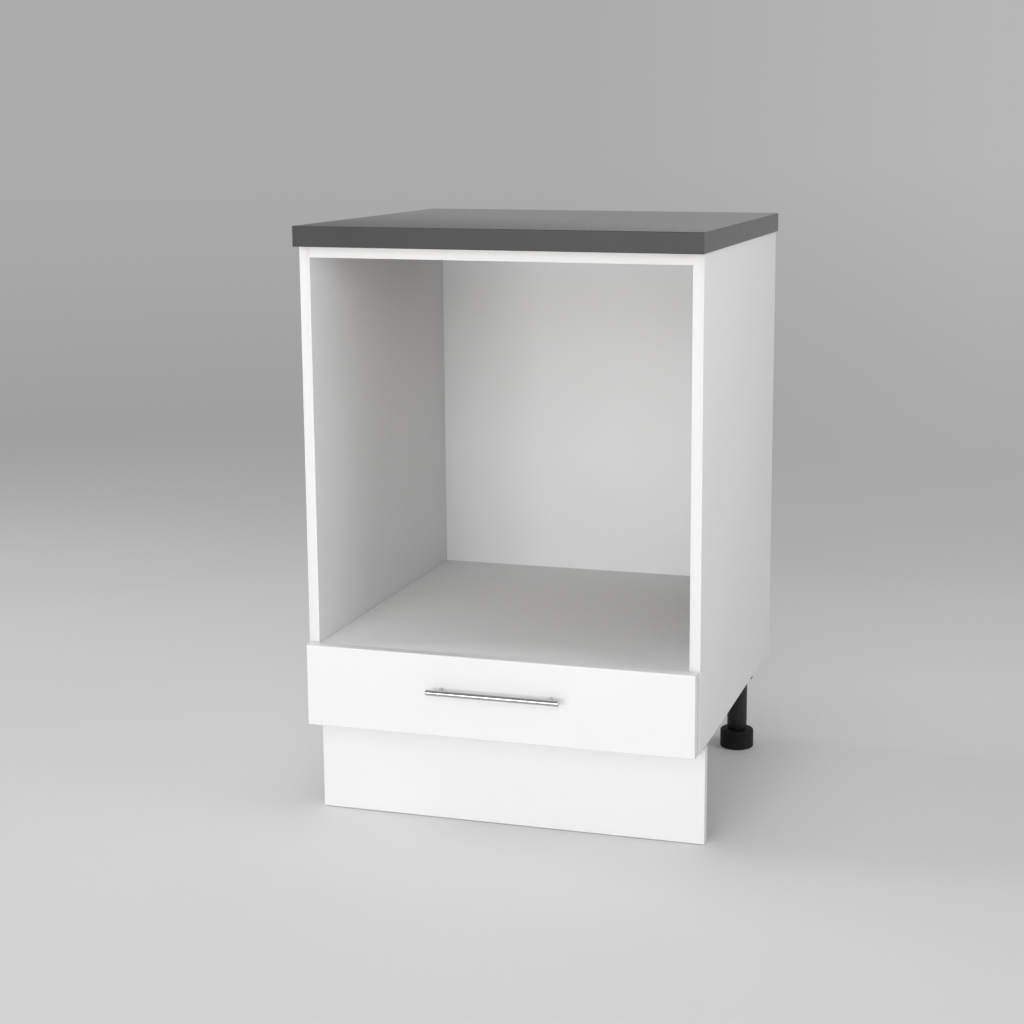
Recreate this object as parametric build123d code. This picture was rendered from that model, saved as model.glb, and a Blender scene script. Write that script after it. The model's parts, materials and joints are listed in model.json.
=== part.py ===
from build123d import *
import os

# Oven base cabinet: a floor-standing kitchen unit with an open niche for a built-in oven, a low drawer under it,
# a plinth, four adjustable legs and its own piece of worktop.
# Lengths are in millimetres. X runs along the front from left to right, Y from the front to the wall, Z up from the
# floor. The origin is on the floor, in the middle of the width and of the whole depth.

# Carcass
cabinet_width = 600.0
carcass_height = 716.0
carcass_depth = 560.0  # from the boards' front edges to the outside of the back panel
leg_height = 150.0
board_thickness = 16.0
back_thickness = 3.0
back_margin = 1.0  # how far the back panel stays inside the carcass outline
rail_width = 100.0

# Worktop
worktop_thickness = 30.0
worktop_side_overhang = 3.0
worktop_front_overhang = 16.0
edging_thickness = 2.0
edging_chamfer = 1.0

# Drawer front
front_height = 124.0
front_thickness = 16.0
front_side_reveal = 2.5
front_gap = 3.0  # between the carcass and the back of the drawer front
front_edge_radius = 1.5
shelf_below_front = 1.0  # the oven shelf lies this far below the top of the drawer front
bumper_radius = 5.0
bumper_drop = 12.0
bumper_gap = 0.3

# Handle
handle_length = 203.0
handle_radius = 4.25
handle_end_chamfer = 0.6
handle_spacing = 168.0
handle_standoff = 19.0  # from the drawer front to the bar's axis
handle_drop = 52.0  # from the top of the drawer front to the bar's axis
post_radius = 3.5
handle_screw_radius = 2.0
handle_screw_grip = 9.0
handle_screw_head_radius = 4.0
handle_screw_head_height = 2.4
handle_screw_play = 0.1

# Plinth and its clips
plinth_thickness = 16.0
plinth_setback = 39.0
plinth_floor_gap = 1.0
plinth_top_gap = 2.0
clip_wall = 3.0
clip_gap = 0.3
clip_height = 24.0
clip_flange_width = 44.0
clip_neck_width = 16.0
clip_arm_length = 7.0

# Legs
leg_side_inset = 41.0
leg_rear_inset = 70.0
foot_plinth_gap = 3.0
foot_radius = 28.0
foot_height = 30.0
foot_chamfer = 3.0
foot_tube_gap = 0.3
foot_travel = 20.0
stem_radius = 9.0
stem_grip = 45.0  # length of stem that stays in the tube when the foot is fully out
thread_play = 0.1
tube_radius = 16.5
socket_play = 0.1
collar_radius = 25.0
collar_height = 30.0  # from the carcass down to the lower edge of the collar
plate_thickness = 4.0
plate_width = 58.0
plate_corner = 8.0

# Roller runners
side_gap = 12.5  # between the carcass side and the drawer side
runner_length = 500.0
runner_front_inset = 2.0
sheet = 1.2
bend_radius = 1.6
channel_rise = 4.0  # from the bottom panel to the channel
channel_web_gap = 1.0
roller_radius = 11.0
roller_gap = 0.3
pin_radius = 2.5
pin_play = 0.05
pin_head_radius = 4.0
pin_head_height = 1.0
pin_head_gap = 0.45
front_roller_inset = 20.0
rear_roller_inset = 14.0
notch_gap = 4.0
flange_gap = 2.0
flange_edge = 3.0  # from the carcass side to the edge of the drawer rail's flange
rail_seat_drop = 6.0  # from the rear roller's axis down to the drawer side's lower edge
rail_front_inset = 8.0
rail_shelf_width = 12.0
drawer_travel = 380.0
stop_height = 5.0
stop_width = 4.0

# Drawer box
drawer_board = 16.0
drawer_side_height = 70.0
drawer_bottom_thickness = 3.0
groove_rise = 10.0
groove_depth = 6.0
groove_play = 0.1

# Planes that the pieces share
half_width = cabinet_width / 2
inner_half = half_width - board_thickness
front_reach = front_gap + front_thickness + handle_standoff + handle_radius
carcass_front = (front_reach - carcass_depth) / 2
carcass_rear = carcass_front + carcass_depth
board_rear = carcass_rear - back_thickness
carcass_bottom = leg_height
carcass_top = carcass_bottom + carcass_height
bottom_panel_top = carcass_bottom + board_thickness
rail_bottom = carcass_top - board_thickness
front_back_face = carcass_front - front_gap
front_face = front_back_face - front_thickness
front_bottom = carcass_bottom
front_top = front_bottom + front_height
shelf_top = front_top - shelf_below_front
shelf_bottom = shelf_top - board_thickness
handle_level = front_top - handle_drop
handle_depth = front_face - handle_standoff

plinth_front = carcass_front + plinth_setback
plinth_rear = plinth_front + plinth_thickness
leg_x = half_width - leg_side_inset
plinth_to_leg = foot_radius + foot_plinth_gap
front_leg_y = plinth_rear + plinth_to_leg
rear_leg_y = carcass_rear - leg_rear_inset
clip_level = (foot_height + leg_height - collar_height) / 2

channel_bottom = bottom_panel_top + channel_rise
channel_height = 2 * (roller_radius + roller_gap + sheet)
channel_top = channel_bottom + channel_height
channel_front = carcass_front + runner_front_inset
channel_rear = channel_front + runner_length
channel_depth = side_gap - sheet - channel_web_gap
rear_roller_level = channel_bottom + channel_height / 2
flange_bottom = channel_top + flange_gap
front_roller_level = flange_bottom - roller_gap - roller_radius
front_roller_y = channel_front + front_roller_inset
notch_end = front_roller_y + roller_radius + notch_gap
roller_width = side_gap - 2 * sheet - roller_gap - pin_play - pin_head_height - pin_head_gap

box_half = inner_half - side_gap
box_inner_half = box_half - drawer_board
box_front = front_back_face
box_rear = box_front + runner_length
box_bottom = rear_roller_level - rail_seat_drop
box_top = box_bottom + drawer_side_height
rear_roller_y = box_rear - rear_roller_inset


def board(x_span, y_span, z_span):
    """A square-edged board between two coordinates on each axis."""
    size = [high - low for low, high in (x_span, y_span, z_span)]
    middle = [(high + low) / 2 for low, high in (x_span, y_span, z_span)]
    return Pos(*middle) * Box(*size)


def along_depth(section, y_start, y_end):
    """A section drawn in X and Z, extruded from one depth to another."""
    return extrude(Plane.XZ.offset(-y_end) * section, amount=y_end - y_start)


def turned(*outline):
    """A turned piece: its half outline, given as length along X and radius, spun about the X axis."""
    return revolve(make_face(Polyline(*outline, close=True)), Axis.X)


def mirrored(piece):
    """The same piece on the cabinet's other side."""
    return mirror(piece, about=Plane.YZ)


def group(pieces):
    """Like pieces that share one node, each a solid of its own."""
    return Compound(children=[solid for piece in pieces for solid in piece.solids()])


def both_sides(piece):
    """A piece of the right-hand side, and the same piece on the left."""
    return [piece, mirrored(piece)]


def make_carcass():
    depth_span = (carcass_front, board_rear)
    inner_span = (-inner_half, inner_half)
    side = board((inner_half, half_width), depth_span, (carcass_bottom, carcass_top))
    back_half = half_width - back_margin
    return {
        "side_panel_right": side,
        "side_panel_left": mirrored(side),
        "bottom_panel": board(inner_span, depth_span, (carcass_bottom, bottom_panel_top)),
        "oven_shelf": board(inner_span, depth_span, (shelf_bottom, shelf_top)),
        "top_rail_front": board(
            inner_span, (carcass_front, carcass_front + rail_width), (rail_bottom, carcass_top)
        ),
        "top_rail_rear": board(
            inner_span, (board_rear - rail_width, board_rear), (rail_bottom, carcass_top)
        ),
        "back_panel": board(
            (-back_half, back_half),
            (board_rear, carcass_rear),
            (carcass_bottom + back_margin, carcass_top - back_margin),
        ),
    }


def make_worktop():
    outer_half = half_width + worktop_side_overhang
    core_half = outer_half - edging_thickness
    top_front = carcass_front - worktop_front_overhang
    core_front = top_front + edging_thickness
    level = (carcass_top, carcass_top + worktop_thickness)
    core = board((-core_half, core_half), (core_front, carcass_rear), level)
    front_strip = board((-outer_half, outer_half), (top_front, core_front), level)
    front_edges = front_strip.faces().sort_by(Axis.Y)[0].edges().filter_by(Axis.X)
    side_strip = board((core_half, outer_half), (core_front, carcass_rear), level)
    side_edges = side_strip.faces().sort_by(Axis.X)[-1].edges().filter_by(Axis.Y)
    side_strip = chamfer(side_edges, edging_chamfer)
    return {
        "worktop": core,
        "worktop_edging_front": chamfer(front_edges, edging_chamfer),
        "worktop_edging_right": side_strip,
        "worktop_edging_left": mirrored(side_strip),
    }


def leg_socket():
    """The plate screwed under the carcass and the collar for the tube, with the plate's top at Z = 0."""
    plate = extrude(RectangleRounded(plate_width, plate_width, plate_corner), amount=-plate_thickness)
    collar = Pos(0, 0, -collar_height / 2) * Cylinder(collar_radius, collar_height)
    bore_height = collar_height - plate_thickness
    bore = Pos(0, 0, -plate_thickness - bore_height / 2) * Cylinder(
        tube_radius + socket_play, bore_height
    )
    return plate + collar - bore


def leg_tube():
    """The tube between the socket and the foot, bored for the foot's stem."""
    low = foot_height + foot_tube_gap
    high = leg_height - plate_thickness
    tube = Cylinder(tube_radius, high - low) - Cylinder(stem_radius + thread_play, high - low)
    return Pos(0, 0, (low + high) / 2) * tube


def leg_foot():
    """The round adjusting foot and its stem, standing on the floor."""
    stem_top = foot_height + foot_travel + stem_grip
    outline = Polyline(
        (0, 0),
        (foot_radius, 0),
        (foot_radius, foot_height - foot_chamfer),
        (foot_radius - foot_chamfer, foot_height),
        (stem_radius, foot_height),
        (stem_radius, stem_top),
        (0, stem_top),
        close=True,
    )
    return revolve(Plane.XZ * make_face(outline), Axis.Z)


def make_legs():
    places = {
        "front_left": (-leg_x, front_leg_y),
        "front_right": (leg_x, front_leg_y),
        "rear_left": (-leg_x, rear_leg_y),
        "rear_right": (leg_x, rear_leg_y),
    }
    nodes = {
        "leg_sockets": group([Pos(x, y, leg_height) * leg_socket() for x, y in places.values()]),
        "leg_tubes": group([Pos(x, y, 0) * leg_tube() for x, y in places.values()]),
    }
    for corner, (x, y) in places.items():
        nodes["leg_foot_" + corner] = Pos(x, y, 0) * leg_foot()
    return nodes


def plinth_clip():
    """A fork that pushes onto a front leg's tube, seen from above with the tube's axis at the origin."""
    jaw_inner = tube_radius + clip_gap
    jaw_outer = jaw_inner + clip_wall
    jaw = Circle(jaw_outer) + Pos(0, clip_arm_length / 2) * Rectangle(2 * jaw_outer, clip_arm_length)
    neck_length = plinth_to_leg - jaw_inner
    neck = Pos(0, -plinth_to_leg + neck_length / 2) * Rectangle(clip_neck_width, neck_length)
    flange = Pos(0, -plinth_to_leg + clip_wall / 2) * Rectangle(clip_flange_width, clip_wall)
    mouth_length = jaw_outer + clip_arm_length
    mouth = Pos(0, mouth_length / 2) * Rectangle(2 * jaw_inner, mouth_length)
    beyond = Pos(0, clip_arm_length + jaw_outer / 2) * Rectangle(2 * jaw_outer, jaw_outer)
    fork = jaw + neck + flange - Circle(jaw_inner) - mouth - beyond
    return extrude(fork, amount=clip_height / 2, both=True)


def make_plinth():
    panel = board(
        (-half_width, half_width),
        (plinth_front, plinth_rear),
        (plinth_floor_gap, leg_height - plinth_top_gap),
    )
    clip = Pos(leg_x, front_leg_y, clip_level) * plinth_clip()
    return {"plinth_panel": panel, "plinth_clips": group(both_sides(clip))}


def channel_rail():
    """The right-hand channel on the carcass side, with the tongue that carries the front roller."""
    edge_x = inner_half - channel_depth
    web_x = inner_half - sheet / 2
    low = channel_bottom + sheet / 2
    high = channel_top - sheet / 2
    line = FilletPolyline((edge_x, low), (web_x, low), (web_x, high), (edge_x, high), radius=bend_radius)
    rail = along_depth(trace(line, sheet), notch_end, channel_rear)
    corner = bend_radius + sheet / 2
    tongue_height = channel_height - 2 * corner
    tongue_length = notch_end - channel_front
    tongue = Rectangle(tongue_length, tongue_height)
    tongue = fillet(tongue.vertices().group_by(Axis.X)[0], bend_radius)
    middle = (inner_half - sheet, (channel_front + notch_end) / 2, (channel_bottom + channel_top) / 2)
    rail += extrude(Plane(middle, x_dir=(0, 1, 0), z_dir=(1, 0, 0)) * tongue, amount=sheet)
    open_roller_y = rear_roller_y - drawer_travel
    reach = (roller_radius**2 - (roller_radius + roller_gap - stop_height) ** 2) ** 0.5
    stop_rear = open_roller_y - reach - roller_gap
    rail += board(
        (edge_x, edge_x + stop_width),
        (stop_rear - sheet, stop_rear),
        (channel_bottom, channel_bottom + sheet + stop_height),
    )
    return rail


def drawer_rail():
    """The right-hand rail under the drawer side, with the flange that rides on the front roller."""
    web_x = inner_half - side_gap + sheet / 2
    flange_level = flange_bottom + sheet / 2
    shelf_level = box_bottom - sheet / 2
    line = FilletPolyline(
        (inner_half - flange_edge, flange_level),
        (web_x, flange_level),
        (web_x, shelf_level),
        (box_half - rail_shelf_width, shelf_level),
        radius=bend_radius,
    )
    return along_depth(trace(line, sheet), box_front + rail_front_inset, box_rear)


def roller():
    """A nylon roller with its back face at X = 0."""
    return turned(
        (0, pin_radius + pin_play),
        (0, roller_radius),
        (roller_width, roller_radius),
        (roller_width, pin_radius + pin_play),
    )


def roller_pin():
    """The pin that a roller turns on, from the face of its sheet to the head that keeps the roller on."""
    shank_end = roller_width + pin_play
    head_end = shank_end + pin_head_height
    return turned(
        (-roller_gap, 0),
        (-roller_gap, pin_radius),
        (shank_end, pin_radius),
        (shank_end, pin_head_radius),
        (head_end, pin_head_radius),
        (head_end, 0),
    )


def at_front_axis(piece):
    """Turns a roller or pin to face the drawer and sets it on the channel's tongue, on both sides."""
    place = Pos(inner_half - sheet - roller_gap, front_roller_y, front_roller_level)
    return group(both_sides(place * Rot(0, 0, 180) * piece))


def at_rear_axis(piece):
    """Sets a roller or pin on the outside of each drawer rail, facing the carcass side."""
    place = Pos(inner_half - side_gap + sheet + roller_gap, rear_roller_y, rear_roller_level)
    return group(both_sides(place * piece))


def make_runners():
    channel = channel_rail()
    rail = drawer_rail()
    return {
        "channel_rail_right": channel,
        "channel_rail_left": mirrored(channel),
        "drawer_rail_right": rail,
        "drawer_rail_left": mirrored(rail),
        "front_rollers": at_front_axis(roller()),
        "front_roller_pins": at_front_axis(roller_pin()),
        "rear_rollers": at_rear_axis(roller()),
        "rear_roller_pins": at_rear_axis(roller_pin()),
    }


def handle_screw(x, play=0.0):
    """A screw from inside the drawer, through both front boards and into a handle post."""
    length = drawer_board + front_thickness + handle_screw_grip
    shank = handle_screw_radius + play
    head_end = handle_screw_head_height
    screw = turned(
        (head_end, 0),
        (head_end, handle_screw_head_radius),
        (0, handle_screw_head_radius),
        (0, shank),
        (-length - play, shank),
        (-length - play, 0),
    )
    return Pos(x, box_front + drawer_board, handle_level) * Rot(0, 0, 90) * screw


def make_drawer():
    handle_xs = (-handle_spacing / 2, handle_spacing / 2)
    handle_bores = [handle_screw(x, handle_screw_play) for x in handle_xs]

    bottom_reach = groove_depth - groove_play
    bottom_low = box_bottom + groove_rise
    bottom_high = bottom_low + drawer_bottom_thickness
    inner_front = box_front + drawer_board
    inner_rear = box_rear - drawer_board
    bottom = board(
        (-box_inner_half - bottom_reach, box_inner_half + bottom_reach),
        (inner_front - bottom_reach, inner_rear + bottom_reach),
        (bottom_low, bottom_high),
    )
    groove = board(
        (-box_inner_half - groove_depth, box_inner_half + groove_depth),
        (inner_front - groove_depth, inner_rear + groove_depth),
        (bottom_low - groove_play, bottom_high + groove_play),
    )

    side = board((box_inner_half, box_half), (box_front, box_rear), (box_bottom, box_top))
    rail_edge = side.edges().filter_by(Axis.Y).group_by(Axis.Z)[0].sort_by(Axis.X)[-1]
    side = chamfer(rail_edge, bend_radius - sheet / 2)
    side -= groove
    cross_span = (-box_inner_half, box_inner_half)
    level = (box_bottom, box_top)
    box_front_board = board(cross_span, (box_front, inner_front), level)
    box_rear_board = board(cross_span, (inner_rear, box_rear), level)

    front_half = half_width - front_side_reveal
    front = board((-front_half, front_half), (front_face, front_back_face), (front_bottom, front_top))
    front = fillet(front.faces().sort_by(Axis.Y)[0].edges(), front_edge_radius)

    bar = turned(
        (-handle_length / 2, 0),
        (-handle_length / 2, handle_radius - handle_end_chamfer),
        (-handle_length / 2 + handle_end_chamfer, handle_radius),
        (handle_length / 2 - handle_end_chamfer, handle_radius),
        (handle_length / 2, handle_radius - handle_end_chamfer),
        (handle_length / 2, 0),
    )
    bar = Pos(0, handle_depth, handle_level) * bar
    post_middle = (handle_depth + front_face) / 2
    posts = [
        Pos(x, post_middle, handle_level) * Rot(90, 0, 0) * Cylinder(post_radius, handle_standoff)
        for x in handle_xs
    ]

    bumper_thickness = front_gap - bumper_gap
    bumper_x = (inner_half + front_half) / 2
    bumper = Pos(bumper_x, front_back_face + bumper_thickness / 2, front_top - bumper_drop)
    bumper = bumper * Rot(90, 0, 0) * Cylinder(bumper_radius, bumper_thickness)

    return {
        "drawer_side_right": side,
        "drawer_side_left": mirrored(side),
        "drawer_box_front": box_front_board - groove - handle_bores,
        "drawer_box_back": box_rear_board - groove,
        "drawer_bottom": bottom,
        "drawer_front": front - handle_bores,
        "drawer_bumpers": group(both_sides(bumper)),
        "handle_bar": bar,
        "handle_posts": group([post - bar - handle_bores for post in posts]),
        "handle_screws": group([handle_screw(x) for x in handle_xs]),
    }


def main():
    os.makedirs("parts", exist_ok=True)
    for make in (make_carcass, make_worktop, make_legs, make_plinth, make_runners, make_drawer):
        for name, shape in make().items():
            export_step(shape, "parts/" + name + ".step")


main()
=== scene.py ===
"""The looks of the oven base cabinet: finishes, fasteners, threaded feet, stage, lights and camera.

Lengths are in metres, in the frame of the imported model: X to the right, Y from the front to the wall, Z up.
"""

import json
import math

import bmesh
import bpy
from mathutils import Matrix, Vector


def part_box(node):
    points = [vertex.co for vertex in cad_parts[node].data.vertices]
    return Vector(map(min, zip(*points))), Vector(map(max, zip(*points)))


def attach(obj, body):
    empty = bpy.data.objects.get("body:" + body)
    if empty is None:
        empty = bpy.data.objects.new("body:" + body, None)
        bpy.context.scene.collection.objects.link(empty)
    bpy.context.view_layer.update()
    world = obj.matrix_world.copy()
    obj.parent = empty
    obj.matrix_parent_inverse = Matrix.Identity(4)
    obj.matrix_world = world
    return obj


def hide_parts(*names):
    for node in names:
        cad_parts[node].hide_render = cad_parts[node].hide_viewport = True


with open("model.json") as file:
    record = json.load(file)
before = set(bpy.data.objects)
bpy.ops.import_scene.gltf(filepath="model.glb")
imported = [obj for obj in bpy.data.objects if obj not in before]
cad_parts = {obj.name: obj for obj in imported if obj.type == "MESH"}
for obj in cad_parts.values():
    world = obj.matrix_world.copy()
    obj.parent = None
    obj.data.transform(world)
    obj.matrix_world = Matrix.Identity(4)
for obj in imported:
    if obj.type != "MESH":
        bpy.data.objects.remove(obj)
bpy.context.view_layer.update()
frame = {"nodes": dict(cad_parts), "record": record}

MM = 0.001
X, Y, Z = range(3)  # the parts of a place
UP, DOWN = (0, 0, 1), (0, 0, -1)
TO_WALL, TO_FRONT = (0, 1, 0), (0, -1, 0)

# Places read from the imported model
SIDE_LOW, SIDE_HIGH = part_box("side_panel_right")
BOTTOM_LOW, BOTTOM_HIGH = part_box("bottom_panel")
BACK_LOW, BACK_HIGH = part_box("back_panel")
SHELF_LOW, SHELF_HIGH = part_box("oven_shelf")
FRONT_RAIL_LOW, FRONT_RAIL_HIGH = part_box("top_rail_front")
REAR_RAIL_LOW, REAR_RAIL_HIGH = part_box("top_rail_rear")
WORKTOP_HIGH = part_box("worktop")[1]
PLINTH_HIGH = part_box("plinth_panel")[1]
CLIPS_LOW, CLIPS_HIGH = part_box("plinth_clips")
CHANNEL_LOW, CHANNEL_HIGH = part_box("channel_rail_right")
DRAWER_RAIL_LOW, DRAWER_RAIL_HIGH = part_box("drawer_rail_right")
BOX_SIDE_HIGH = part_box("drawer_side_right")[1]
BOX_FRONT_LOW, BOX_FRONT_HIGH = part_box("drawer_box_front")
BOX_BACK_LOW, BOX_BACK_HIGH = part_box("drawer_box_back")
TUBES_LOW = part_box("leg_tubes")[0]
FOOT_LOW, FOOT_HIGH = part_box("leg_foot_front_left")
CARCASS_FRONT = SIDE_LOW.y
INNER_HALF = SIDE_LOW.x
BOARD = SIDE_HIGH.x - SIDE_LOW.x  # its thickness
CORNERS = ("front_left", "front_right", "rear_left", "rear_right")


# Shader nodes

FACING = 0.9  # how squarely a surface has to face a direction
SHARP_EDGE = (0.75, 0.98)  # how far a rounded and a straight normal agree, on a sharp edge and off it


def linked(tree, socket, value):
    """Sets a socket to a value, or feeds it from another socket."""
    if isinstance(value, bpy.types.NodeSocket):
        tree.links.new(value, socket)
    else:
        socket.default_value = value


def add(tree, kind, inputs=None, **settings):
    """Adds a shader node, with its settings and its inputs."""
    node = tree.nodes.new("ShaderNode" + kind)
    for name, value in settings.items():
        setattr(node, name, value)
    for name, value in (inputs or {}).items():
        linked(tree, node.inputs[name], value)
    return node


def grey(level):
    """A neutral colour."""
    return (level, level, level, 1.0)


def greys(levels):
    """Two neutral colours."""
    return [grey(level) for level in levels]


def new_material(name, **sockets):
    """A material with its constant sockets set, with its nodes, its shader and the place on the piece."""
    material = bpy.data.materials.new(name)
    material.use_nodes = True
    tree = material.node_tree
    shader = tree.nodes["Principled BSDF"]
    for socket, value in sockets.items():
        shader.inputs[socket.replace("_", " ")].default_value = value
    place = add(tree, "TexCoord").outputs["Object"]
    return material, tree, shader, place


def noise(tree, place, scale, detail=2.0, roughness=0.5, stretch=None):
    """A noise value around a half, with scale features to the metre, drawn out along an axis if asked."""
    if stretch is not None:
        place = add(tree, "Mapping", {"Vector": place, "Scale": stretch}).outputs["Vector"]
    sockets = {"Vector": place, "Scale": scale, "Detail": detail, "Roughness": roughness}
    return add(tree, "TexNoise", sockets).outputs["Fac"]


def ranged(tree, value, low, high, start=0.25, end=0.75):
    """A value between start and end brought between two limits."""
    sockets = {"Value": value, "From Min": start, "From Max": end, "To Min": low, "To Max": high}
    return add(tree, "MapRange", sockets).outputs["Result"]


def calculated(tree, operation, first, second=0.0):
    """The result of a Math node."""
    node = add(tree, "Math", operation=operation)
    linked(tree, node.inputs[0], first)
    linked(tree, node.inputs[1], second)
    return node.outputs["Value"]


def mixed(tree, factor, first, second):
    """Two colours mixed by a factor."""
    node = add(tree, "Mix", data_type="RGBA")
    for index, value in ((0, factor), (6, first), (7, second)):
        linked(tree, node.inputs[index], value)
    return node.outputs[2]


def bumped(tree, shader, height, depth, below=None):
    """Raises the surface by height times depth metres, on top of another bump if one is given."""
    sockets = {"Height": height, "Distance": depth}
    if below is not None:
        sockets["Normal"] = below
    normal = add(tree, "Bump", sockets).outputs["Normal"]
    tree.links.new(normal, shader.inputs["Normal"])
    return normal


def part_of(tree, vector, axis):
    """One of the three parts of a vector or colour."""
    return add(tree, "SeparateXYZ", {"Vector": vector}).outputs[axis]


def facing(tree, direction):
    """One where the surface faces a direction, otherwise zero."""
    normal = add(tree, "TexCoord").outputs["Normal"]
    both = add(tree, "VectorMath", {0: normal, 1: direction}, operation="DOT_PRODUCT")
    return calculated(tree, "GREATER_THAN", both.outputs["Value"], FACING)


def near(tree, value, level, reach):
    """One within reach of a level, otherwise zero."""
    distance = calculated(tree, "ABSOLUTE", calculated(tree, "SUBTRACT", value, level))
    return calculated(tree, "LESS_THAN", distance, reach)


def edges(tree, reach):
    """Rises from zero on flat places to about one on sharp edges."""
    rounded = add(tree, "Bevel", {"Radius": reach}).outputs["Normal"]
    straight = add(tree, "NewGeometry").outputs["Normal"]
    both = add(tree, "VectorMath", {0: rounded, 1: straight}, operation="DOT_PRODUCT")
    return ranged(tree, both.outputs["Value"], 1.0, 0.0, *SHARP_EDGE)


def chipboard(tree, place):
    """Raw chipboard: pressed flakes of several browns. Gives its colour and its height."""
    flakes = add(tree, "TexVoronoi", {"Vector": place, "Scale": 420.0})
    shade = part_of(tree, flakes.outputs["Color"], X)
    wood = mixed(tree, shade, DARK_FLAKE, PALE_FLAKE)
    specks = ranged(tree, noise(tree, place, 700.0, detail=4.0), 0.0, 0.6)
    return mixed(tree, specks, wood, CHIP_GAP), flakes.outputs["Distance"]


# Materials

BAND = 0.8 * MM  # thickness of an edge band
JOINT = 0.09 * MM  # half the width of its dark joint
LAMINATE = 0.8 * MM  # thickness of the worktop's skin

BOARD_WHITE = 0.80
BAND_WHITE = 0.825  # on the edges that face the front
LACQUER_WHITE = (0.845, 0.855)
LACQUER_SIDE_SHADE = 0.77  # on all faces but the front one: painted shade, darker where less light falls
PAINT_WHITE = (0.79, 0.81)
RAIL_WHITE = (0.66, 0.70)
LAMINATE_GREY = (0.058, 0.068)
LAMINATE_GRAIN = 0.10
EDGING_GREY = 0.058
PLASTIC_BLACK = 0.009
FOOT_BLACK = 0.0105
STEEL = (0.44, 0.58)
ZINC_DARK, ZINC_PALE = (0.55, 0.55, 0.55, 1.0), (0.68, 0.69, 0.72, 1.0)
# the paler tone of a painted highlight on the zinc's edges
ZINC_EDGE_HIGHLIGHT = 0.78
NYLON_DARK, NYLON_PALE = (0.62, 0.61, 0.57, 1.0), (0.70, 0.69, 0.66, 1.0)
RUBBER = (0.62, 0.75)
DARK_FLAKE, PALE_FLAKE = (0.28, 0.17, 0.085, 1.0), (0.60, 0.43, 0.26, 1.0)
CHIP_GAP = (0.17, 0.10, 0.05, 1.0)
DARK_FIBRE, PALE_FIBRE = (0.19, 0.105, 0.055, 1.0), (0.33, 0.205, 0.12, 1.0)
FIBRE_FLECK = (0.11, 0.06, 0.03, 1.0)
BACKING_PAPER = (0.23, 0.16, 0.10, 1.0)


def white_board(name, band_axis, band_line, raw_below=False):
    """Melamine-faced board: a fine pearl grain, faint unevenness, and an edge band with its joint.

    Where its lower edge is raw, that edge shows the chipboard.
    """
    material, tree, shader, place = new_material(name, Specular_IOR_Level=0.35)
    slow = ranged(tree, noise(tree, place, 5.0), 0.0, 1.0)
    tone = mixed(tree, slow, grey(BOARD_WHITE * 0.98), grey(BOARD_WHITE))
    pearl = noise(tree, place, 1400.0, detail=3.0, roughness=0.65)
    tone = mixed(tree, ranged(tree, pearl, 0.0, 0.05), tone, grey(BOARD_WHITE * 0.8))
    tone = mixed(tree, facing(tree, TO_FRONT), tone, grey(BAND_WHITE))
    joint = near(tree, part_of(tree, place, band_axis), band_line, JOINT)
    tone = mixed(tree, calculated(tree, "MULTIPLY", joint, 0.45), tone, grey(BOARD_WHITE * 0.45))
    if raw_below:
        wood = chipboard(tree, place)[0]
        tone = mixed(tree, facing(tree, DOWN), tone, wood)
    tree.links.new(tone, shader.inputs["Base Color"])
    scuffs = noise(tree, place, 40.0, detail=4.0, roughness=0.7, stretch=(1.0, 3.0, 0.6))
    tree.links.new(ranged(tree, scuffs, 0.54, 0.62), shader.inputs["Roughness"])
    bumped(tree, shader, pearl, 0.03 * MM)
    return material


def satin_front():
    """Lacquered white front: even and satin, with a very fine orange peel; its edges and back are painted
    darker as painted shade.
    """
    material, tree, shader, place = new_material("front_finish", Coat_Weight=0.25, Coat_Roughness=0.16)
    slow = ranged(tree, noise(tree, place, 4.0), 0.0, 1.0)
    lacquer = mixed(tree, slow, *greys(LACQUER_WHITE))
    # painted shade: every face but the front one gets a darker white
    tone = mixed(tree, facing(tree, TO_FRONT), grey(LACQUER_SIDE_SHADE), lacquer)
    tree.links.new(tone, shader.inputs["Base Color"])
    peel = noise(tree, place, 900.0, detail=3.0)
    tree.links.new(ranged(tree, peel, 0.28, 0.32), shader.inputs["Roughness"])
    bumped(tree, shader, peel, 0.006 * MM)
    return material


def fibreboard():
    """Thin board: painted white on the face that shows, bare brown fibre elsewhere."""
    material, tree, shader, place = new_material("thin_board_finish")
    painted = calculated(tree, "MAXIMUM", facing(tree, TO_FRONT), facing(tree, UP))
    white = mixed(tree, ranged(tree, noise(tree, place, 6.0), 0.0, 1.0), *greys(PAINT_WHITE))
    fibres = noise(tree, place, 260.0, detail=6.0, roughness=0.75, stretch=(1.0, 1.0, 3.0))
    brown = mixed(tree, ranged(tree, fibres, 0.0, 1.0), DARK_FIBRE, PALE_FIBRE)
    flecks = ranged(tree, noise(tree, place, 900.0), 0.0, 0.35)
    brown = mixed(tree, flecks, brown, FIBRE_FLECK)
    tree.links.new(mixed(tree, painted, brown, white), shader.inputs["Base Color"])
    smoother = calculated(tree, "MULTIPLY", painted, -0.25)
    roughness = calculated(tree, "ADD", ranged(tree, fibres, 0.65, 0.75), smoother)
    tree.links.new(roughness, shader.inputs["Roughness"])
    bumped(tree, shader, fibres, 0.04 * MM)
    return material


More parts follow.
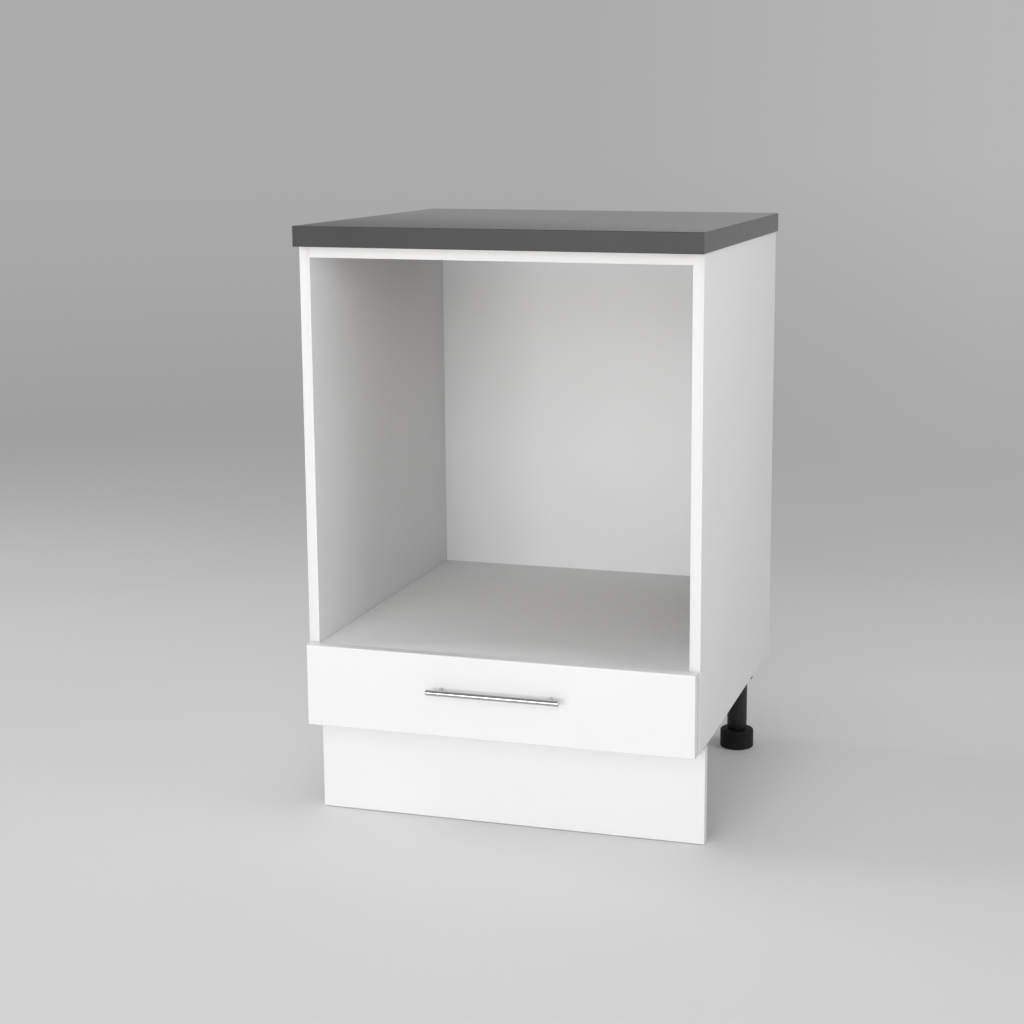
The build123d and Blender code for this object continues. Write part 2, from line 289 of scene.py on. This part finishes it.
def worktop_laminate():
    """Dark grey laminate on top, bare chipboard at the rear edge, brown backing paper underneath."""
    material, tree, shader, place = new_material("worktop_finish", Coat_Weight=0.6, Coat_Roughness=0.22)
    mottle = noise(tree, place, 45.0, detail=5.0, roughness=0.6)
    tone = mixed(tree, ranged(tree, mottle, 0.0, 1.0), *greys(LAMINATE_GREY))
    grain = noise(tree, place, 1500.0, detail=3.0, roughness=0.7)
    tone = mixed(tree, ranged(tree, grain, 0.0, 0.35), tone, grey(LAMINATE_GRAIN))
    wood, flakes = chipboard(tree, place)
    core = calculated(tree, "LESS_THAN", part_of(tree, place, Z), WORKTOP_HIGH.z - LAMINATE)
    core = calculated(tree, "MULTIPLY", core, facing(tree, TO_WALL))
    below = facing(tree, DOWN)
    tone = mixed(tree, core, tone, wood)
    tone = mixed(tree, below, tone, BACKING_PAPER)
    tree.links.new(tone, shader.inputs["Base Color"])
    bare = calculated(tree, "MULTIPLY", calculated(tree, "MAXIMUM", core, below), 0.45)
    roughness = calculated(tree, "ADD", ranged(tree, mottle, 0.26, 0.32), bare)
    tree.links.new(roughness, shader.inputs["Roughness"])
    cracks = calculated(tree, "MULTIPLY", flakes, core)
    rough_edge = bumped(tree, shader, cracks, 0.4 * MM)
    bumped(tree, shader, grain, 0.015 * MM, below=rough_edge)
    return material


def dark_plastic(name, level, roughness, grain_scale, grain_depth, gloss=0.5, sheen=0.0):
    """Plastic with a fine grain, slow changes of gloss, and edges painted a little lighter in patches: partly
    rubbing wear, partly a painted highlight.
    """
    sockets = {"Specular_IOR_Level": gloss, "Sheen_Weight": sheen, "Sheen_Roughness": 0.3}
    material, tree, shader, place = new_material(name, **sockets)
    slow = noise(tree, place, 30.0, detail=3.0)
    tone = mixed(tree, ranged(tree, slow, 0.0, 1.0), grey(level * 0.9), grey(level * 1.1))
    # painted highlight along the edges, patchy like rubbing wear
    rubbed_and_highlit = calculated(tree, "MULTIPLY", edges(tree, 0.6 * MM), ranged(tree, slow, 0.2, 0.6))
    tone = mixed(tree, rubbed_and_highlit, tone, grey(level * 1.8))
    tree.links.new(tone, shader.inputs["Base Color"])
    tree.links.new(ranged(tree, slow, *roughness), shader.inputs["Roughness"])
    grain = noise(tree, place, grain_scale, detail=3.0, roughness=0.6)
    bumped(tree, shader, grain, grain_depth)
    return material


def brushed_steel():
    """Steel bar brushed along its length, which is X."""
    material, tree, shader, place = new_material("handle_finish", Metallic=1.0)
    hairs = noise(tree, place, 2600.0, detail=3.0, roughness=0.7, stretch=(0.015, 1.0, 1.0))
    tone = mixed(tree, ranged(tree, hairs, 0.0, 1.0), *greys(STEEL))
    tree.links.new(tone, shader.inputs["Base Color"])
    tree.links.new(ranged(tree, hairs, 0.12, 0.20), shader.inputs["Roughness"])
    bumped(tree, shader, hairs, 0.004 * MM)
    return material


def zinc_plate():
    """Bright zinc plating with a faint spangle, and a painted highlight on its edges."""
    material, tree, shader, place = new_material("zinc_finish", Metallic=1.0)
    cells = add(tree, "TexVoronoi", {"Vector": place, "Scale": 900.0}).outputs["Color"]
    shade = part_of(tree, cells, X)
    tone = mixed(tree, shade, ZINC_DARK, ZINC_PALE)
    # painted highlight: the edges are made lighter
    tone = mixed(tree, edges(tree, 0.3 * MM), tone, grey(ZINC_EDGE_HIGHLIGHT))
    tree.links.new(tone, shader.inputs["Base Color"])
    tree.links.new(ranged(tree, shade, 0.24, 0.36, 0.0, 1.0), shader.inputs["Roughness"])
    bumped(tree, shader, noise(tree, place, 2500.0), 0.006 * MM)
    return material


def powder_coat():
    """White powder coat on steel sheet, with a fine orange peel."""
    material, tree, shader, place = new_material("rail_finish", Coat_Weight=0.3, Coat_Roughness=0.15)
    slow = ranged(tree, noise(tree, place, 20.0), 0.0, 1.0)
    tree.links.new(mixed(tree, slow, *greys(RAIL_WHITE)), shader.inputs["Base Color"])
    peel = noise(tree, place, 700.0)
    tree.links.new(ranged(tree, peel, 0.30, 0.42), shader.inputs["Roughness"])
    bumped(tree, shader, peel, 0.03 * MM)
    return material


def white_nylon():
    """Natural nylon, which lets a little light through."""
    sockets = {"Subsurface_Weight": 0.3, "Subsurface_Scale": 2 * MM}
    material, tree, shader, place = new_material("nylon_finish", **sockets)
    slow = noise(tree, place, 90.0, detail=3.0)
    tone = mixed(tree, ranged(tree, slow, 0.0, 1.0), NYLON_DARK, NYLON_PALE)
    tree.links.new(tone, shader.inputs["Base Color"])
    tree.links.new(ranged(tree, slow, 0.38, 0.5), shader.inputs["Roughness"])
    bumped(tree, shader, noise(tree, place, 1500.0), 0.01 * MM)
    return material


def bumper_rubber():
    """Soft clear bumper, slightly hazy."""
    material, tree, shader, place = new_material("bumper_finish", Transmission_Weight=0.5, IOR=1.45)
    haze = noise(tree, place, 500.0, detail=3.0)
    tree.links.new(mixed(tree, haze, *greys(RUBBER)), shader.inputs["Base Color"])
    tree.links.new(ranged(tree, haze, 0.25, 0.4), shader.inputs["Roughness"])
    return material


EDGING = {
    "roughness": (0.42, 0.50),
    "grain_scale": 1800.0,
    "grain_depth": 0.02 * MM,
    "gloss": 0.25,
    "sheen": 0.45,
}
MOULDING = {"roughness": (0.42, 0.56), "grain_scale": 1100.0, "grain_depth": 0.04 * MM}
FOOT_MOULDING = MOULDING | {"roughness": (0.55, 0.65), "gloss": 0.2}

FINISHES = {
    "white_board": white_board("board_finish", Y, CARCASS_FRONT + BAND),
    "thin_board": fibreboard(),
    "white_front": satin_front(),
    "worktop_laminate": worktop_laminate(),
    "worktop_edging": dark_plastic("edging_finish", EDGING_GREY, **EDGING),
    "handle_steel": brushed_steel(),
    "zinc_steel": zinc_plate(),
    "coated_steel": powder_coat(),
    "white_nylon": white_nylon(),
    "black_plastic": dark_plastic("black_plastic_finish", PLASTIC_BLACK, **MOULDING),
    "clear_rubber": bumper_rubber(),
}
foot_finish = dark_plastic("foot_finish", FOOT_BLACK, **FOOT_MOULDING)
side_finish = white_board("side_finish", Y, CARCASS_FRONT + BAND, raw_below=True)
box_finish = white_board("drawer_box_finish", Z, BOX_SIDE_HIGH.z - BAND, raw_below=True)
OWN_FINISHES = {
    "side_panel_left": side_finish,
    "side_panel_right": side_finish,
    "drawer_side_left": box_finish,
    "drawer_side_right": box_finish,
    "drawer_box_front": box_finish,
    "drawer_box_back": box_finish,
}


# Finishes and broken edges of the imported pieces

EDGE_ROUNDING = {
    "white_board": 0.4 * MM,
    "thin_board": 0.2 * MM,
    "worktop_laminate": 0.2 * MM,
    "coated_steel": 0.15 * MM,
    "black_plastic": 0.5 * MM,
    "white_nylon": 0.5 * MM,
}
WELD_REACH = 0.01 * MM
ROUNDED_ANGLE = math.radians(40)


def dress_packed_pieces():
    """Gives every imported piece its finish, and the plain ones slightly broken edges."""
    for row in frame["record"]["subparts"]:
        name, slot = row["node"], row["material_slot"]
        piece = frame["nodes"][name]
        piece.data.materials.clear()
        piece.data.materials.append(OWN_FINISHES.get(name, FINISHES[slot]))
        for polygon in piece.data.polygons:
            polygon.use_smooth = True
        if slot not in EDGE_ROUNDING:
            continue
        weld = piece.modifiers.new("weld", "WELD")
        weld.merge_threshold = WELD_REACH
        rounding = piece.modifiers.new("edge", "BEVEL")
        rounding.width = EDGE_ROUNDING[slot]
        rounding.segments = 2
        rounding.limit_method = "ANGLE"
        rounding.angle_limit = ROUNDED_ANGLE
        rounding.harden_normals = True


# Turned shapes and screws

SHARP_ANGLE = math.radians(35)
HEAD_STEPS, NAIL_STEPS = 48, 24  # round the head of a screw and of a nail


def new_piece(name, shell, body, slot, finish=None):
    """A piece made from a bmesh, riding on its body, in its own finish or that of its material slot."""
    bmesh.ops.recalc_face_normals(shell, faces=shell.faces)
    mesh = bpy.data.meshes.new(name)
    shell.to_mesh(mesh)
    shell.free()
    for polygon in mesh.polygons:
        polygon.use_smooth = True
    mesh.set_sharp_from_angle(angle=SHARP_ANGLE)
    mesh.materials.append(finish or FINISHES[slot])
    piece = bpy.data.objects.new(name, mesh)
    bpy.context.scene.collection.objects.link(piece)
    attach(piece, body)
    return piece


def at(place, direction):
    """Sets a shape made along Z on a place, pointing in a direction."""
    turn = Vector(direction).to_track_quat("Z", "Y").to_matrix().to_4x4()
    return Matrix.Translation(place) @ turn


def turn_shape(shell, stand, outline, steps=32):
    """Adds a closed turned shape. An outline point is a radius, or a function of the angle, and a height."""
    rings = []
    for radius, height in outline:
        ring = []
        for step in range(steps):
            angle = step / steps * math.tau
            reach = radius(angle) if callable(radius) else radius
            point = Vector((reach * math.cos(angle), reach * math.sin(angle), height))
            ring.append(shell.verts.new(stand @ point))
        rings.append(ring)
    for low, high in zip(rings, rings[1:]):
        for step in range(steps):
            after = (step + 1) % steps
            shell.faces.new((low[step], low[after], high[after], high[step]))
    shell.faces.new(reversed(rings[0]))
    shell.faces.new(rings[-1])


def cross(reach, half_slot):
    """Radius of a cross-shaped outline, as a function of the angle."""

    def radius(angle):
        from_arm = abs((angle + math.pi / 4) % (math.pi / 2) - math.pi / 4)
        end = reach / math.cos(from_arm)
        return end if from_arm < 1e-6 else min(end, half_slot / math.sin(from_arm))

    return radius


def hexagon(across):
    """Radius of a hexagon of a width across its flats, as a function of the angle."""
    return lambda angle: across / 2 / math.cos(angle % (math.pi / 3) - math.pi / 6)


def pan_screw(shell, place, direction, radius=3.5 * MM, height=2.2 * MM):
    """Adds the domed head of a screw, with a cross recess sunk into it."""
    slot = 0.13 * radius
    outline = [
        (radius, 0.0),
        (radius, 0.35 * height),
        (0.94 * radius, 0.65 * height),
        (0.80 * radius, 0.88 * height),
        (0.62 * radius, height),
        (cross(0.55 * radius, slot), height),
        (cross(0.42 * radius, 0.7 * slot), 0.45 * height),
    ]
    turn_shape(shell, at(place, direction), outline, HEAD_STEPS)


def flush_screw(shell, place, direction, radius, proud, recess):
    """Adds the flat head of a sunk screw or cam, which stands a little proud, with a recess."""
    outline = [
        (radius, 0.0),
        (radius, 0.6 * proud),
        (0.95 * radius, proud),
        (recess, proud),
        (recess, 0.1 * proud),
    ]
    turn_shape(shell, at(place, direction), outline, HEAD_STEPS)


def nail(shell, place, direction, radius=1.6 * MM, proud=0.06 * MM):
    """Adds the flat head of a thin nail, almost flush with the board."""
    outline = [(radius, 0.0), (radius, proud / 3), (radius - 0.1 * MM, proud)]
    turn_shape(shell, at(place, direction), outline, NAIL_STEPS)


def mirrored(distance):
    """A distance to both sides of the middle."""
    return [-distance, distance]


def spread(low, high, count):
    """Evenly spaced places from low to high."""
    return [low + (high - low) * index / (count - 1) for index in range(count)]


# Fasteners of the carcass

CAM_RADIUS = 7.5 * MM
CAM_PROUD = 0.4 * MM
CAM_INSET = 34 * MM  # from the end of a board to the cam's middle
CAM_EDGE = 37 * MM  # from the front or rear edge of a board
CAM_BEHIND_LEG = 14 * MM  # from the rear edge of the bottom, to clear the leg plates
CAM_ARM, CAM_SLOT = 0.62 * CAM_RADIUS, 0.12 * CAM_RADIUS  # reach and half width of its cross recess

TOP_RAILS = ((FRONT_RAIL_LOW, FRONT_RAIL_HIGH), (REAR_RAIL_LOW, REAR_RAIL_HIGH))
WASHER_RADIUS, WASHER_HEIGHT = 8 * MM, 1.2 * MM
WORKTOP_SCREW_X = 0.6 * INNER_HALF
NAIL_HALF_ROW = 0.8 * INNER_HALF
NAILS_UP, NAILS_ACROSS = 8, 5


def cam_locks():
    """Cams under the bottom, the shelf and the top rails, which draw the boards to the sides."""
    shell = bmesh.new()
    recess = cross(CAM_ARM, CAM_SLOT)
    rows = [(BOTTOM_LOW.z, y) for y in (BOTTOM_LOW.y + CAM_EDGE, 0.0, BOTTOM_HIGH.y - CAM_BEHIND_LEG)]
    rows += [(SHELF_LOW.z, y) for y in (SHELF_LOW.y + CAM_EDGE, 0.0, SHELF_HIGH.y - CAM_EDGE)]
    for low, high in TOP_RAILS:
        rows += [(low.z, low.y + CAM_EDGE), (low.z, high.y - CAM_EDGE)]
    for level, y in rows:
        for x in mirrored(INNER_HALF - CAM_INSET):
            flush_screw(shell, (x, y, level), DOWN, CAM_RADIUS, CAM_PROUD, recess)
    new_piece("cam_locks", shell, "carcass", "zinc_steel")


def worktop_screws():
    """Screws with washers that hold the worktop from under the top rails."""
    shell = bmesh.new()
    rim = (0.95 * WASHER_RADIUS, WASHER_HEIGHT)
    washer = [(WASHER_RADIUS, 0.0), (WASHER_RADIUS, 0.8 * WASHER_HEIGHT), rim]
    for low, high in TOP_RAILS:
        for x in mirrored(WORKTOP_SCREW_X):
            place = Vector((x, (low.y + high.y) / 2, low.z))
            turn_shape(shell, at(place, DOWN), washer)
            pan_screw(shell, place + WASHER_HEIGHT * Vector(DOWN), DOWN)
    new_piece("worktop_screws", shell, "carcass", "zinc_steel")


def back_nails():
    """Nails through the back panel, into the sides, the bottom, the shelf and the rear rail."""
    shell = bmesh.new()
    edge = BOARD / 2
    places = [
        (x, z)
        for z in spread(BACK_LOW.z + edge, BACK_HIGH.z - edge, NAILS_UP)
        for x in mirrored(BACK_HIGH.x - edge)
    ]
    for board_low in (BOTTOM_LOW, SHELF_LOW, REAR_RAIL_LOW):
        row = spread(-NAIL_HALF_ROW, NAIL_HALF_ROW, NAILS_ACROSS)
        places += [(x, board_low.z + edge) for x in row]
    for x, z in places:
        nail(shell, (x, BACK_HIGH.y, z), TO_WALL)
    new_piece("back_nails", shell, "carcass", "zinc_steel")


# Legs


def leg_places():
    """The axis of each leg, on the floor."""
    places = {}
    for corner in CORNERS:
        low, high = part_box("leg_foot_" + corner)
        places[corner] = Vector(((low.x + high.x) / 2, (low.y + high.y) / 2, 0.0))
    return places


LEGS = leg_places()
PLATE_THICKNESS = 4 * MM
PLATE_SCREW_REACH = 22 * MM  # from the leg's axis, across and to the front and rear

FOOT_TUBE_GAP = 0.3 * MM
FOOT_RADIUS = (FOOT_HIGH.x - FOOT_LOW.x) / 2
FOOT_HEIGHT = TUBES_LOW.z - FOOT_TUBE_GAP
FOOT_CHAMFER = 1 * MM
FOOT_SHOULDER = 3 * MM
SHOULDER_STEPS = 4
FOOT_STEPS = 96  # round the foot

SLOT_COUNT, SLOT_DEPTH = 3, 2 * MM
SLOT_HALF_ANGLE, FIRST_SLOT = math.radians(10), math.radians(-54)
SLOT_LOW, SLOT_HIGH = 0.80 * FOOT_HEIGHT, 0.87 * FOOT_HEIGHT
SLOT_WALL = 0.2 * MM

STEM_RADIUS = 9 * MM
STEM_NECK, STEM_TIP = STEM_RADIUS - 1 * MM, STEM_RADIUS - 1.5 * MM
STEM_TOP = FOOT_HIGH.z
THREAD_DEPTH, THREAD_PITCH = 0.9 * MM, 3 * MM
THREAD_LOW, THREAD_HIGH = FOOT_HEIGHT + 0.5 * MM, STEM_TOP - 1.5 * MM
THREAD_ROWS = 8  # in a pitch
THREAD_FLANK = 2.4  # how steeply the groove falls


def leg_plate_screws():
    """Four screws in each leg plate, up into the bottom panel."""
    shell = bmesh.new()
    for place in LEGS.values():
        for x in mirrored(PLATE_SCREW_REACH):
            for y in mirrored(PLATE_SCREW_REACH):
                head = place + Vector((x, y, BOTTOM_LOW.z - PLATE_THICKNESS))
                pan_screw(shell, head, DOWN)
    new_piece("leg_plate_screws", shell, "carcass", "zinc_steel")


def thread_radius(level):
    """Radius of the stem's thread at a level, as a function of the angle: it swings once in a turn."""

    def radius(angle):
        phase = (level / THREAD_PITCH + angle / math.tau) % 1.0
        return STEM_RADIUS - THREAD_DEPTH * min(1.0, THREAD_FLANK * abs(phase - 0.5))

    return radius


def slotted_radius(angle):
    """Radius of the foot at its turning slots."""
    pitch = math.tau / SLOT_COUNT
    from_slot = abs((angle - FIRST_SLOT + pitch / 2) % pitch - pitch / 2)
    return FOOT_RADIUS - (SLOT_DEPTH if from_slot < SLOT_HALF_ANGLE else 0.0)


def foot_outline():
    """Outline of a foot: chamfer, turning slots, rounded shoulder and threaded stem."""
    outline = [
        (FOOT_RADIUS - FOOT_CHAMFER, 0.0),
        (FOOT_RADIUS, FOOT_CHAMFER),
        (FOOT_RADIUS, SLOT_LOW - SLOT_WALL),
        (slotted_radius, SLOT_LOW),
        (slotted_radius, SLOT_HIGH),
        (FOOT_RADIUS, SLOT_HIGH + SLOT_WALL),
    ]
    for step in range(SHOULDER_STEPS + 1):
        angle = step / SHOULDER_STEPS * math.pi / 2
        radius = FOOT_RADIUS - FOOT_SHOULDER * (1 - math.cos(angle))
        outline.append((radius, FOOT_HEIGHT - FOOT_SHOULDER * (1 - math.sin(angle))))
    outline.append((STEM_NECK, FOOT_HEIGHT))
    rows = round((THREAD_HIGH - THREAD_LOW) / THREAD_PITCH * THREAD_ROWS)
    outline += [(thread_radius(level), level) for level in spread(THREAD_LOW, THREAD_HIGH, rows + 1)]
    outline.append((STEM_TIP, STEM_TOP))
    return outline


def foot(corner, place):
    """A moulded foot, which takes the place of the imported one."""
    shell = bmesh.new()
    turn_shape(shell, Matrix.Translation(place), foot_outline(), FOOT_STEPS)
    piece = new_piece("moulded_foot_" + corner, shell, "foot_" + corner, "black_plastic", foot_finish)
    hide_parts("leg_foot_" + corner)


# Plinth

CLIP_WALL = 3 * MM
CLIP_SCREW_REACH = 16 * MM  # from the leg's axis


def clip_screws():
    """Two screws in each clip's flange, into the back of the plinth."""
    shell = bmesh.new()
    level = (CLIPS_LOW.z + CLIPS_HIGH.z) / 2
    for corner in ("front_left", "front_right"):
        for x in mirrored(CLIP_SCREW_REACH):
            place = (LEGS[corner].x + x, PLINTH_HIGH.y + CLIP_WALL, level)
            pan_screw(shell, place, TO_WALL, radius=3.2 * MM, height=2 * MM)
    new_piece("clip_screws", shell, "plinth", "zinc_steel")


# Drawer and runners

SHEET = 1.2 * MM  # of the runners
RAIL_SHELF_MIDDLE = 6 * MM  # from the inner edge of the rail's shelf
RAIL_SCREW_SHARES = (0.12, 0.5, 0.88)  # along a rail
CORNER_SCREW_SHARES = (0.22, 0.75)  # up the part of a drawer side that shows over its rail
FRONT_SCREW_DROPS = (42 * MM, 14 * MM)  # from the top of the box front
FRONT_SCREW_INSET = 35 * MM  # from the end of the box front


def channel_screws():
    """Flush screws that hold the channels to the sides."""
    shell = bmesh.new()
    recess = cross(2.2 * MM, 0.5 * MM)
    level = (CHANNEL_LOW.z + CHANNEL_HIGH.z) / 2
    for share in RAIL_SCREW_SHARES:
        y = CHANNEL_LOW.y + share * (CHANNEL_HIGH.y - CHANNEL_LOW.y)
        for sign in (-1, 1):
            place = (sign * (INNER_HALF - SHEET), y, level)
            flush_screw(shell, place, (-sign, 0, 0), 4 * MM, 0.2 * MM, recess)
    new_piece("channel_screws", shell, "carcass", "zinc_steel")


def drawer_rail_screws():
    """Screws up through the rails' shelves into the drawer sides."""
    shell = bmesh.new()
    shelf_middle = DRAWER_RAIL_LOW.x + RAIL_SHELF_MIDDLE
    for share in RAIL_SCREW_SHARES:
        y = DRAWER_RAIL_LOW.y + share * (DRAWER_RAIL_HIGH.y - DRAWER_RAIL_LOW.y)
        for x in mirrored(shelf_middle):
            pan_screw(shell, (x, y, DRAWER_RAIL_LOW.z), DOWN, radius=3.2 * MM, height=1.8 * MM)
    new_piece("drawer_rail_screws", shell, "drawer", "zinc_steel")


def corner_screws():
    """Hexagon socket screws through the drawer sides into the ends of the box front and back."""
    shell = bmesh.new()
    recess = hexagon(4 * MM)
    shown = BOX_SIDE_HIGH.z - DRAWER_RAIL_HIGH.z
    for low, high in ((BOX_FRONT_LOW, BOX_FRONT_HIGH), (BOX_BACK_LOW, BOX_BACK_HIGH)):
        for share in CORNER_SCREW_SHARES:
            level = DRAWER_RAIL_HIGH.z + share * shown
            for sign in (-1, 1):
                place = (sign * BOX_SIDE_HIGH.x, (low.y + high.y) / 2, level)
                flush_screw(shell, place, (sign, 0, 0), 4.5 * MM, 0.4 * MM, recess)
    new_piece("corner_screws", shell, "drawer", "zinc_steel")


def front_screws():
    """Screws from inside the drawer that hold its front."""
    shell = bmesh.new()
    for drop in FRONT_SCREW_DROPS:
        for x in mirrored(BOX_FRONT_HIGH.x - FRONT_SCREW_INSET):
            place = (x, BOX_FRONT_HIGH.y, BOX_FRONT_HIGH.z - drop)
            pan_screw(shell, place, TO_WALL, radius=4 * MM, height=2.4 * MM)
    new_piece("front_screws", shell, "drawer", "zinc_steel")


# Stage, lights and camera

FLOOR_REACH = 3.9
FLOOR_THICKNESS = 0.02
FLOOR_FADE = 1.5  # where the floor starts to run out into the wall's tone
WALL_REACH = 4.25
WALL_HEIGHT = 6.0
BEND_STEPS = 12  # between floor and wall
STAGE_STEPS = 96  # round the stage

FLOOR_TONES, FLOOR_SPAN = (0.71, 0.61), (0.5, 1.6)  # painted light falloff: near and far, and the distances between them
FLOOR_DRIFT, FLOOR_DRIFT_SPAN = (-0.04, 0.03), (-1.2, 0.6)  # painted light, added from left to right
FLOOR_MOTTLE = (-0.01, 0.01)
WALL_TONES, WALL_SPAN = (0.35, 0.41), (0.0, 0.9)  # painted light: low and high, and the heights between them
WALL_DRIFT, WALL_DRIFT_SPAN = (0.0, 0.06), (-1.2, 0.4)  # painted light, added from left to right

ROOM_LIGHT = 0.45  # what the dome sends to the object
ROOM_SEEN = 0.42  # what the camera, gloss and glass see of it

MIDDLE = (0.0, 0.0, 0.5)  # what the lamps are turned to
LAMPS = {  # place, size and power in watts
    "low_front_lamp": ((-0.4, -3.8, 0.65), (2.0, 0.7), 49.0),
    "high_front_lamp": ((0.6, -3.7, 2.2), (2.4, 1.6), 25.0),
    "left_lamp": ((-3.7, -0.2, 2.0), (2.0, 2.0), 76.0),
    "right_lamp": ((3.6, -0.4, 1.8), (2.0, 2.0), 36.0),
}

CAMERA_PLACE = Vector((0.8337, CARCASS_FRONT - 2.4826, 1.040))
CAMERA_YAW = math.radians(15.54)  # to the left of straight ahead
CAMERA_PITCH = math.radians(9.99)  # downwards
CAMERA_REACH = 50.0
SENSOR, FOCAL_LENGTH = 36.0, 65.15  # in millimetres
LENS_SHIFT = (-0.08, -0.06)  # keeps the uprights nearly upright in the picture


def round_stage(name, outline, material):
    """A closed turned surface about the middle of the object."""
    shell = bmesh.new()
    turn_shape(shell, Matrix(), outline, STAGE_STEPS)
    mesh = bpy.data.meshes.new(name)
    shell.to_mesh(mesh)
    shell.free()
    mesh.materials.append(material)
    surface = bpy.data.objects.new(name, mesh)
    bpy.context.scene.collection.objects.link(surface)
    return surface


def seen_ray(tree):
    """One for camera rays and for what gloss and glass show, otherwise zero."""
    path = add(tree, "LightPath")
    gloss = calculated(tree, "MAXIMUM", path.outputs["Is Camera Ray"], path.outputs["Is Glossy Ray"])
    return calculated(tree, "MAXIMUM", gloss, path.outputs["Is Transmission Ray"])


def glowing(tree, tone):
    """A surface that shows a tone by itself."""
    return add(tree, "Emission", {"Color": tone, "Strength": 1.0}).outputs["Emission"]


def wall_tone(tree, place):
    """The backdrop's grey, with painted light: lighter upwards and a little lighter to the right."""
    rise = ranged(tree, part_of(tree, place, Z), *WALL_TONES, *WALL_SPAN)
    drift = ranged(tree, part_of(tree, place, X), *WALL_DRIFT, *WALL_DRIFT_SPAN)
    return calculated(tree, "ADD", rise, drift)


def floor_finish():
    """Pale grey floor, painted darker with distance and a little lighter to the right as painted light, which
    runs out into the glowing tone of the wall's foot.
    """
    material, tree, shader, place = new_material("floor_finish", Roughness=0.7)
    flat = add(tree, "VectorMath", {0: place, 1: (1.0, 1.0, 0.0)}, operation="MULTIPLY").outputs["Vector"]
    reach = add(tree, "VectorMath", {0: flat}, operation="LENGTH").outputs["Value"]
    # painted light: darker with distance, lighter to the right
    tone = ranged(tree, reach, *FLOOR_TONES, *FLOOR_SPAN)
    drift = ranged(tree, part_of(tree, place, X), *FLOOR_DRIFT, *FLOOR_DRIFT_SPAN)
    tone = calculated(tree, "ADD", tone, drift)
    tone = calculated(tree, "ADD", tone, ranged(tree, noise(tree, place, 0.7), *FLOOR_MOTTLE))
    tree.links.new(tone, shader.inputs["Base Color"])
    far = ranged(tree, reach, 0.0, 1.0, FLOOR_FADE, FLOOR_REACH)
    far = calculated(tree, "MULTIPLY", far, seen_ray(tree))
    glow = glowing(tree, wall_tone(tree, place))
    both = add(tree, "MixShader", {0: far, 1: shader.outputs["BSDF"], 2: glow})
    tree.links.new(both.outputs["Shader"], tree.nodes["Material Output"].inputs["Surface"])
    return material


def wall_finish():
    """The backdrop, which glows in its own tone, painted lighter upwards and to the right as painted light.
    """
    material, tree, _, place = new_material("wall_finish")
    glow = glowing(tree, wall_tone(tree, place))
    tree.links.new(glow, tree.nodes["Material Output"].inputs["Surface"])
    return material


def stage():
    """A round floor, and a drum round it that only the camera, gloss and glass see."""
    round_stage("stage_floor", [(FLOOR_REACH, -FLOOR_THICKNESS), (FLOOR_REACH, 0.0)], floor_finish())
    bend = WALL_REACH - FLOOR_REACH
    outline = [(FLOOR_REACH, -FLOOR_THICKNESS)]
    for step in range(BEND_STEPS + 1):
        angle = step / BEND_STEPS * math.pi / 2
        outline.append((FLOOR_REACH + bend * math.sin(angle), bend - bend * math.cos(angle)))
    outline.append((WALL_REACH, WALL_HEIGHT))
    wall = round_stage("stage_wall", outline, wall_finish())
    wall.visible_diffuse = False
    wall.visible_shadow = False


def area_light(name, place, size, power):
    """A rectangular lamp turned to the middle of the object, which the camera doesn't see."""
    data = bpy.data.lights.new(name, "AREA")
    data.shape = "RECTANGLE"
    data.size, data.size_y = size
    data.energy = power
    lamp = bpy.data.objects.new(name, data)
    lamp.location = place
    lamp.rotation_euler = (Vector(MIDDLE) - Vector(place)).to_track_quat("-Z", "Y").to_euler()
    lamp.visible_camera = False
    bpy.context.scene.collection.objects.link(lamp)


def lights():
    """Large soft lamps in front and on both sides, and an even dome of light."""
    for name, (place, size, power) in LAMPS.items():
        area_light(name, place, size, power)
    world = bpy.data.worlds.new("room")
    bpy.context.scene.world = world
    world.use_nodes = True
    tree = world.node_tree
    tone = mixed(tree, seen_ray(tree), grey(ROOM_LIGHT), grey(ROOM_SEEN))
    linked(tree, tree.nodes["Background"].inputs["Color"], tone)


def camera():
    """The camera at the photograph's viewing angle."""
    data = bpy.data.cameras.new("camera")
    data.sensor_width = SENSOR
    data.lens = FOCAL_LENGTH
    data.shift_x, data.shift_y = LENS_SHIFT
    data.clip_end = CAMERA_REACH
    view = bpy.data.objects.new("camera", data)
    view.location = CAMERA_PLACE
    view.rotation_euler = (math.pi / 2 - CAMERA_PITCH, 0.0, CAMERA_YAW)
    bpy.context.scene.collection.objects.link(view)
    bpy.context.scene.camera = view


camera()
dress_packed_pieces()
cam_locks()
worktop_screws()
back_nails()
leg_plate_screws()
for corner_name, leg_place in LEGS.items():
    foot(corner_name, leg_place)
clip_screws()
channel_screws()
drawer_rail_screws()
corner_screws()
front_screws()
stage()
lights()
bpy.context.scene.view_settings.view_transform = "Standard"
